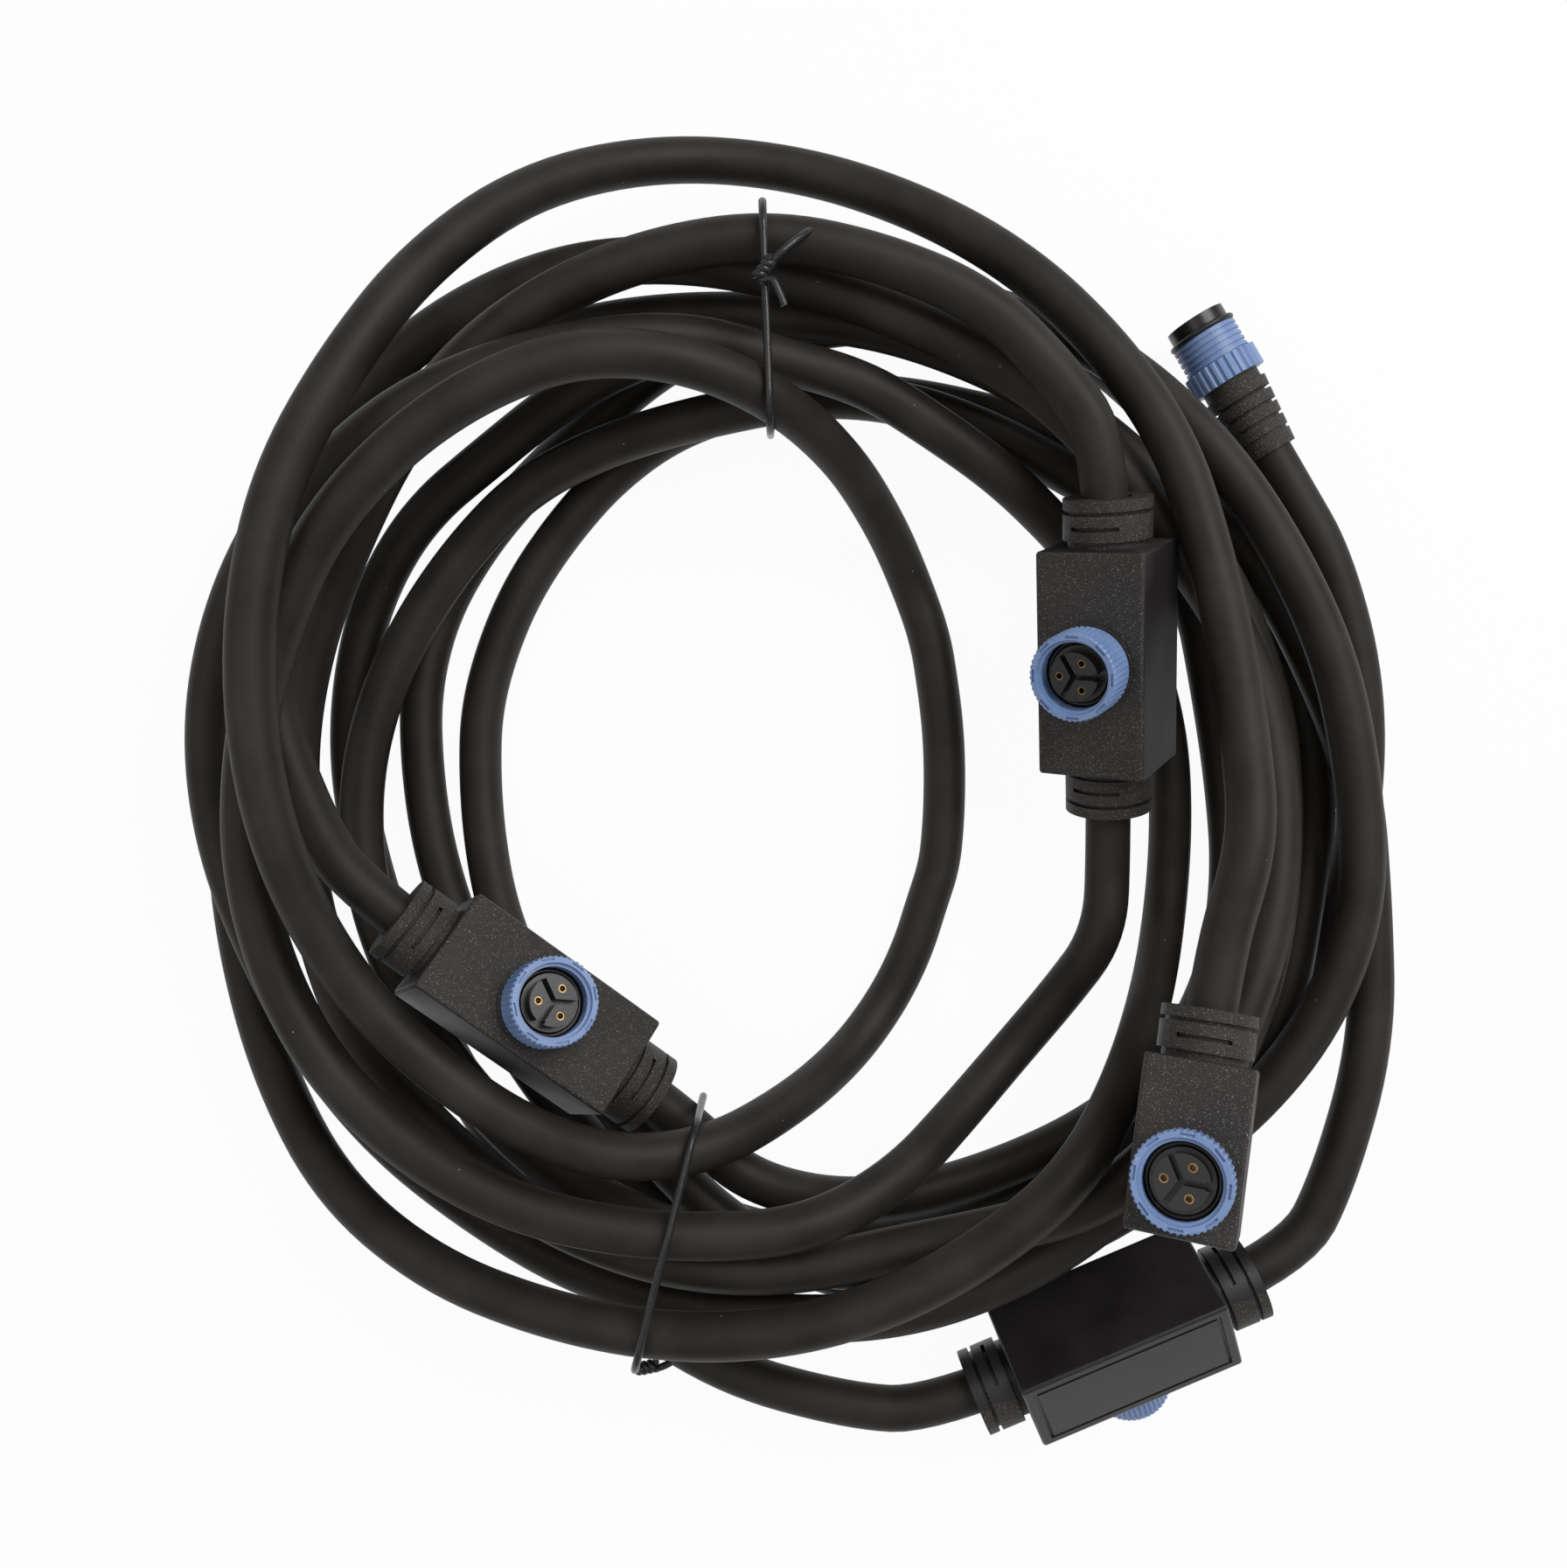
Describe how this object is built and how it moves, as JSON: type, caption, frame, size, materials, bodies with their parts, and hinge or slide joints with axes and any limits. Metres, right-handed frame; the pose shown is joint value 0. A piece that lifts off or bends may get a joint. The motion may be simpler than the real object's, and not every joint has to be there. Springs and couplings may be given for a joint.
{
  "type": "shore power cord",
  "caption": "Coiled black rubber trunk power cable with moulded side sockets, blue coupling nuts and a threaded plug, tied in a loose coil.",
  "frame": {"origin": "on the surface that the coil lies on, under the middle of the whole part", "axes": "+Z up; +X to the right and +Y up in a view from above with the plug at the upper right"},
  "size_m": [0.2692, 0.2837, 0.0859],
  "materials": {
    "cable_rubber": "matt, with dust",
    "box_plastic": "fine grain, matt",
    "insert_plastic": "smooth, satin",
    "carrier_plastic": "plain",
    "nut_plastic": "smooth, satin periwinkle blue",
    "contact_brass": "bright",
    "seal_rubber": "smooth",
    "tie_plastic": "satin coating on wire"
  },
  "bodies": {
    "cord": {"cable_end": "cable_rubber", "cable_first": "cable_rubber", "cable_second": "cable_rubber", "cable_plug": "cable_rubber", "tee_right_body": "box_plastic", "tee_right_carrier": "carrier_plastic", "tee_right_insert": "insert_plastic", "tee_right_contacts": "contact_brass", "tee_right_seal": "seal_rubber", "tee_left_body": "box_plastic", "tee_left_carrier": "carrier_plastic", "tee_left_insert": "insert_plastic", "tee_left_contacts": "contact_brass", "tee_left_seal": "seal_rubber", "tee_low_body": "box_plastic", "tee_low_carrier": "carrier_plastic", "tee_low_insert": "insert_plastic", "tee_low_contacts": "contact_brass", "tee_low_seal": "seal_rubber", "end_box_body": "box_plastic", "end_box_carrier": "carrier_plastic", "end_box_insert": "insert_plastic", "end_box_contacts": "contact_brass", "end_box_seal": "seal_rubber", "plug_sleeve": "insert_plastic", "plug_pins": "contact_brass", "plug_thread": "nut_plastic", "plug_seal": "seal_rubber", "plug_grip": "box_plastic", "tie_top": "tie_plastic", "tie_bottom": "tie_plastic"},
    "nut_right": {"tee_right_nut": "nut_plastic"},
    "nut_left": {"tee_left_nut": "nut_plastic"},
    "nut_low": {"tee_low_nut": "nut_plastic"},
    "nut_end": {"end_box_nut": "nut_plastic"}
  },
  "joints": [
    {"name": "nut_right_turn", "type": "hinge", "parent": "cord", "child": "nut_right", "pos_m": [0.05668, 0.02263, 0.04727], "axis": [-0.5267, -0.2756, 0.8041], "continuous": true},
    {"name": "nut_left_turn", "type": "hinge", "parent": "cord", "child": "nut_left", "pos_m": [-0.04844, -0.04258, 0.04816], "axis": [0.4276, 0.2013, 0.8813], "continuous": true},
    {"name": "nut_low_turn", "type": "hinge", "parent": "cord", "child": "nut_low", "pos_m": [0.07494, -0.13159, 0.01079], "axis": [0.3188, -0.7546, -0.5736], "continuous": true},
    {"name": "nut_end_turn", "type": "hinge", "parent": "cord", "child": "nut_end", "pos_m": [0.06846, -0.06928, 0.07888], "axis": [-0.331, 0.189, 0.9245], "continuous": true}
  ]
}
